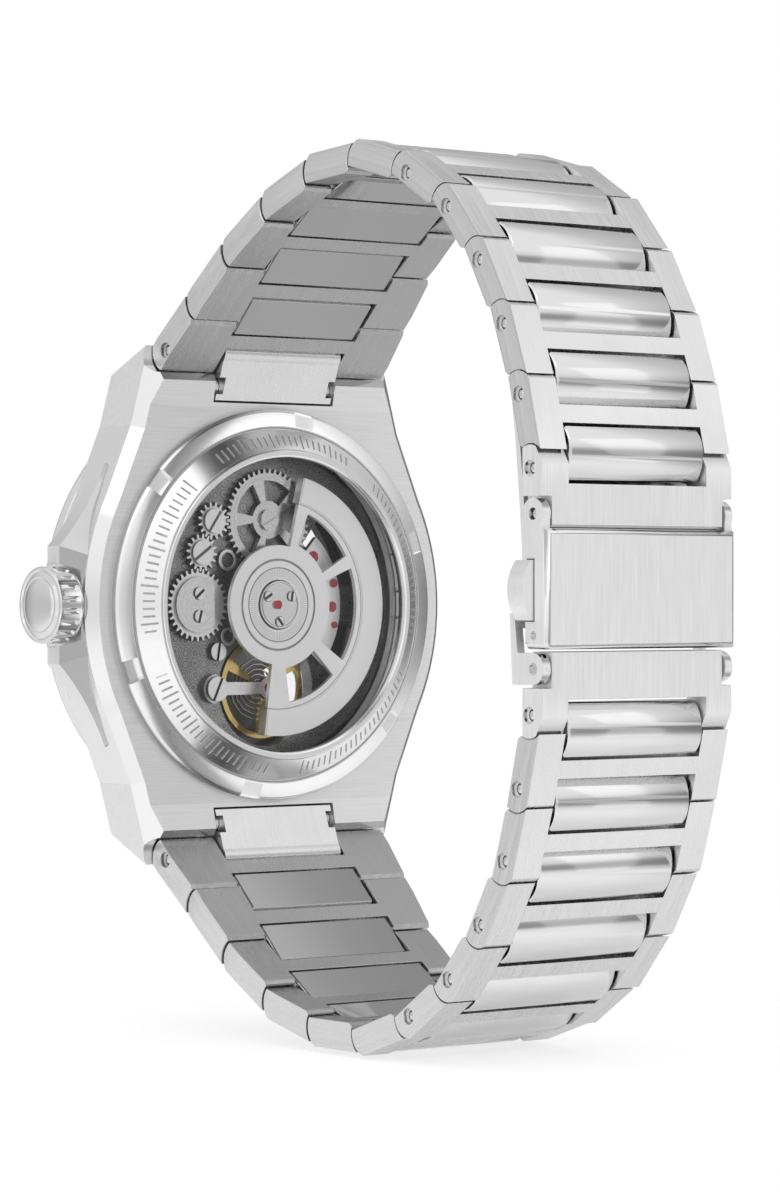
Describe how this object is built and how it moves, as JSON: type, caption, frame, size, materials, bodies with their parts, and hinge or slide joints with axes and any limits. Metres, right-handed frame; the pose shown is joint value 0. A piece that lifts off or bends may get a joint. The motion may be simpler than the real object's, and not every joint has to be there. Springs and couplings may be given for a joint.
{
  "type": "skeleton wristwatch",
  "caption": "Automatic wristwatch with a see-through back on a tapering steel link bracelet, closed by a folding push-button clasp.",
  "frame": {"origin": "centre of the flat back of the case, where the caseback ring sits", "axes": "+Y out of the caseback towards the wrist, +Z to 12 o'clock, +X to the crown"},
  "size_m": [0.044, 0.0609, 0.0785],
  "materials": {
    "case_steel": "brushed with polished edges",
    "polished_steel": "polished",
    "link_steel": "brushed",
    "movement_steel": "fine brushed",
    "dark_plate": "black plated",
    "gilt": "polished gilt",
    "ruby": "polished synthetic ruby",
    "crystal": "clear",
    "hand_steel": "polished"
  },
  "bodies": {
    "case": {"case_middle": "case_steel", "front_bezel": "polished_steel", "front_crystal": "crystal", "chapter_ring": "dark_plate", "hour_markers": "polished_steel", "caseback_ring": "polished_steel", "caseback_glass": "crystal", "crown_tube": "polished_steel", "mainplate": "dark_plate", "train_bridge": "dark_plate", "upper_bridges": "movement_steel", "crown_wheel_cover": "movement_steel", "movement_screws": "movement_steel", "jewels": "ruby", "end_tongues": "link_steel", "spring_bars": "polished_steel", "rotor_hub": "polished_steel"},
    "crown": {"crown_and_stem": "polished_steel"},
    "winding_pinion": {"sliding_pinion": "movement_steel"},
    "crown_wheel": {"crown_wheel": "movement_steel"},
    "idler_lower": {"idler_wheel_lower": "movement_steel"},
    "idler_upper": {"idler_wheel_upper": "movement_steel"},
    "ratchet": {"ratchet_wheel": "movement_steel"},
    "barrel": {"mainspring_barrel": "movement_steel"},
    "escape_wheel": {"escape_wheel": "movement_steel"},
    "balance": {"balance_wheel": "gilt", "hairspring": "movement_steel"},
    "rotor": {"rotor": "movement_steel"},
    "hour_hand": {"hour_hand": "hand_steel"},
    "minute_hand": {"minute_hand": "hand_steel"},
    "seconds_hand": {"seconds_hand": "hand_steel"},
    "link_upper_01": {"link_upper_01": "link_steel"},
    "link_upper_02": {"link_upper_02": "link_steel"},
    "link_upper_03": {"link_upper_03": "link_steel"},
    "link_upper_04": {"link_upper_04": "link_steel"},
    "link_upper_05": {"link_upper_05": "link_steel"},
    "link_upper_06": {"link_upper_06": "link_steel"},
    "link_upper_07": {"link_upper_07": "link_steel"},
    "link_upper_08": {"link_upper_08": "link_steel"},
    "link_upper_09": {"link_upper_09": "link_steel"},
    "link_upper_10": {"link_upper_10": "link_steel"},
    "link_upper_11": {"link_upper_11": "link_steel"},
    "link_lower_01": {"link_lower_01": "link_steel"},
    "link_lower_02": {"link_lower_02": "link_steel"},
    "link_lower_03": {"link_lower_03": "link_steel"},
    "link_lower_04": {"link_lower_04": "link_steel"},
    "link_lower_05": {"link_lower_05": "link_steel"},
    "link_lower_06": {"link_lower_06": "link_steel"},
    "link_lower_07": {"link_lower_07": "link_steel"},
    "link_lower_08": {"link_lower_08": "link_steel"},
    "link_lower_09": {"link_lower_09": "link_steel"},
    "link_lower_10": {"link_lower_10": "link_steel"},
    "link_lower_11": {"link_lower_11": "link_steel"},
    "end_upper": {"clasp_end_upper": "link_steel"},
    "end_lower": {"clasp_end_lower": "link_steel"},
    "cover": {"clasp_cover": "link_steel", "blade_outer": "link_steel"},
    "button_left": {"push_button_left": "link_steel"},
    "button_right": {"push_button_right": "link_steel"},
    "blade_inner": {"blade_inner": "link_steel"}
  },
  "joints": [
    {"name": "crown_turn", "type": "hinge", "parent": "case", "child": "winding_pinion", "pos_m": [0.0122, -0.0036, 0], "axis": [1, 0, 0], "continuous": true},
    {"name": "crown_pull", "type": "slide", "parent": "winding_pinion", "child": "crown", "axis": [1, 0, 0], "range_m": [0, 0.0012]},
    {"name": "crown_wheel_turn", "type": "hinge", "parent": "case", "child": "crown_wheel", "pos_m": [0.008, -0.001, 0], "axis": [0, 1, 0], "continuous": true},
    {"name": "idler_lower_turn", "type": "hinge", "parent": "case", "child": "idler_lower", "pos_m": [0.00754, -0.001, 0.00478], "axis": [0, 1, 0], "continuous": true},
    {"name": "idler_upper_turn", "type": "hinge", "parent": "case", "child": "idler_upper", "pos_m": [0.00621, -0.001, 0.00769], "axis": [0, 1, 0], "continuous": true},
    {"name": "ratchet_turn", "type": "hinge", "parent": "case", "child": "ratchet", "pos_m": [0.00002, -0.001, 0.00785], "axis": [0, 1, 0], "continuous": true},
    {"name": "barrel_turn", "type": "hinge", "parent": "case", "child": "barrel", "pos_m": [0.00002, -0.003, 0.00785], "axis": [0, 1, 0], "continuous": true},
    {"name": "escape_turn", "type": "hinge", "parent": "case", "child": "escape_wheel", "pos_m": [-0.005, -0.0037, -0.0044], "axis": [0, 1, 0], "continuous": true},
    {"name": "balance_swing", "type": "hinge", "parent": "case", "child": "balance", "pos_m": [-0.0002, -0.002, -0.0077], "axis": [0, 1, 0], "range_deg": [-270, 270]},
    {"name": "rotor_turn", "type": "hinge", "parent": "case", "child": "rotor", "pos_m": [0, 0.0006, 0], "axis": [0, 1, 0], "continuous": true},
    {"name": "hour_turn", "type": "hinge", "parent": "case", "child": "hour_hand", "pos_m": [0, -0.007, 0], "axis": [0, 1, 0], "continuous": true},
    {"name": "minute_turn", "type": "hinge", "parent": "case", "child": "minute_hand", "pos_m": [0, -0.007, 0], "axis": [0, 1, 0], "continuous": true},
    {"name": "seconds_turn", "type": "hinge", "parent": "case", "child": "seconds_hand", "pos_m": [0, -0.007, 0], "axis": [0, 1, 0], "continuous": true},
    {"name": "upper_joint_01", "type": "hinge", "parent": "case", "child": "link_upper_01", "pos_m": [0, 0.0006, 0.023], "axis": [1, 0, 0], "range_deg": [0, 40]},
    {"name": "upper_joint_02", "type": "hinge", "parent": "link_upper_01", "child": "link_upper_02", "pos_m": [0, 0.00502, 0.02742], "axis": [1, 0, 0], "range_deg": [0, 8]},
    {"name": "upper_joint_03", "type": "hinge", "parent": "link_upper_02", "child": "link_upper_03", "pos_m": [0, 0.00952, 0.03176], "axis": [1, 0, 0], "range_deg": [0, 11]},
    {"name": "upper_joint_04", "type": "hinge", "parent": "link_upper_03", "child": "link_upper_04", "pos_m": [0, 0.01464, 0.03535], "axis": [1, 0, 0], "range_deg": [0, 15]},
    {"name": "upper_joint_05", "type": "hinge", "parent": "link_upper_04", "child": "link_upper_05", "pos_m": [0, 0.02043, 0.03769], "axis": [1, 0, 0], "range_deg": [0, 20]},
    {"name": "upper_joint_06", "type": "hinge", "parent": "link_upper_05", "child": "link_upper_06", "pos_m": [0, 0.02666, 0.03812], "axis": [1, 0, 0], "range_deg": [0, 21]},
    {"name": "upper_joint_07", "type": "hinge", "parent": "link_upper_06", "child": "link_upper_07", "pos_m": [0, 0.0327, 0.03651], "axis": [1, 0, 0], "range_deg": [0, 18]},
    {"name": "upper_joint_08", "type": "hinge", "parent": "link_upper_07", "child": "link_upper_08", "pos_m": [0, 0.03806, 0.03329], "axis": [1, 0, 0], "range_deg": [0, 20]},
    {"name": "upper_joint_09", "type": "hinge", "parent": "link_upper_08", "child": "link_upper_09", "pos_m": [0, 0.04216, 0.02857], "axis": [1, 0, 0], "range_deg": [0, 13]},
    {"name": "upper_joint_10", "type": "hinge", "parent": "link_upper_09", "child": "link_upper_10", "pos_m": [0, 0.04528, 0.02316], "axis": [1, 0, 0], "range_deg": [0, 12]},
    {"name": "upper_joint_11", "type": "hinge", "parent": "link_upper_10", "child": "link_upper_11", "pos_m": [0, 0.04742, 0.01728], "axis": [1, 0, 0], "range_deg": [0, 8]},
    {"name": "upper_joint_12", "type": "hinge", "parent": "link_upper_11", "child": "end_upper", "pos_m": [0, 0.04893, 0.01122], "axis": [1, 0, 0], "range_deg": [0, 16]},
    {"name": "lower_joint_01", "type": "hinge", "parent": "case", "child": "link_lower_01", "pos_m": [0, 0.0006, -0.023], "axis": [-1, 0, 0], "range_deg": [0, 40]},
    {"name": "lower_joint_02", "type": "hinge", "parent": "link_lower_01", "child": "link_lower_02", "pos_m": [0, 0.00517, -0.02726], "axis": [-1, 0, 0], "range_deg": [0, 8]},
    {"name": "lower_joint_03", "type": "hinge", "parent": "link_lower_02", "child": "link_lower_03", "pos_m": [0, 0.00967, -0.0316], "axis": [-1, 0, 0], "range_deg": [0, 13]},
    {"name": "lower_joint_04", "type": "hinge", "parent": "link_lower_03", "child": "link_lower_04", "pos_m": [0, 0.01491, -0.03501], "axis": [-1, 0, 0], "range_deg": [0, 20]},
    {"name": "lower_joint_05", "type": "hinge", "parent": "link_lower_04", "child": "link_lower_05", "pos_m": [0, 0.02095, -0.03663], "axis": [-1, 0, 0], "range_deg": [0, 17]},
    {"name": "lower_joint_06", "type": "hinge", "parent": "link_lower_05", "child": "link_lower_06", "pos_m": [0, 0.0272, -0.03663], "axis": [-1, 0, 0], "range_deg": [0, 21]},
    {"name": "lower_joint_07", "type": "hinge", "parent": "link_lower_06", "child": "link_lower_07", "pos_m": [0, 0.03311, -0.03459], "axis": [-1, 0, 0], "range_deg": [0, 17]},
    {"name": "lower_joint_08", "type": "hinge", "parent": "link_lower_07", "child": "link_lower_08", "pos_m": [0, 0.03829, -0.0311], "axis": [-1, 0, 0], "range_deg": [0, 18]},
    {"name": "lower_joint_09", "type": "hinge", "parent": "link_lower_08", "child": "link_lower_09", "pos_m": [0, 0.0423, -0.02631], "axis": [-1, 0, 0], "range_deg": [0, 12]},
    {"name": "lower_joint_10", "type": "hinge", "parent": "link_lower_09", "child": "link_lower_10", "pos_m": [0, 0.04543, -0.0209], "axis": [-1, 0, 0], "range_deg": [0, 15]},
    {"name": "lower_joint_11", "type": "hinge", "parent": "link_lower_10", "child": "link_lower_11", "pos_m": [0, 0.04726, -0.01492], "axis": [-1, 0, 0], "range_deg": [0, 8]},
    {"name": "lower_joint_12", "type": "hinge", "parent": "link_lower_11", "child": "end_lower", "pos_m": [0, 0.04877, -0.00885], "axis": [-1, 0, 0], "range_deg": [0, 16]},
    {"name": "clasp_lift", "type": "hinge", "parent": "end_upper", "child": "cover", "pos_m": [0, 0.0493, 0.0075], "axis": [1, 0, 0], "range_deg": [0, 85]},
    {"name": "clasp_fold", "type": "hinge", "parent": "cover", "child": "blade_inner", "pos_m": [0, 0.04535, 0.0182], "axis": [1, 0, 0], "range_deg": [-170, 0]},
    {"name": "button_left_press", "type": "slide", "parent": "cover", "child": "button_left", "axis": [1, 0, 0], "range_m": [0, 0.0007], "stiffness_N_per_m": 300},
    {"name": "button_right_press", "type": "slide", "parent": "cover", "child": "button_right", "axis": [-1, 0, 0], "range_m": [0, 0.0007], "stiffness_N_per_m": 300}
  ],
  "couplings": [
    {"joint": "crown_wheel_turn", "follows": "crown_turn", "ratio": 0.4375},
    {"joint": "idler_lower_turn", "follows": "crown_turn", "ratio": -0.875},
    {"joint": "idler_upper_turn", "follows": "crown_turn", "ratio": 0.875},
    {"joint": "ratchet_turn", "follows": "crown_turn", "ratio": -0.30435},
    {"joint": "minute_turn", "follows": "seconds_turn", "ratio": 0.016667},
    {"joint": "hour_turn", "follows": "seconds_turn", "ratio": 0.0013889},
    {"joint": "barrel_turn", "follows": "seconds_turn", "ratio": -0.002381},
    {"joint": "escape_turn", "follows": "seconds_turn", "ratio": -10},
    {"joint": "clasp_fold", "follows": "clasp_lift", "ratio": -2}
  ]
}
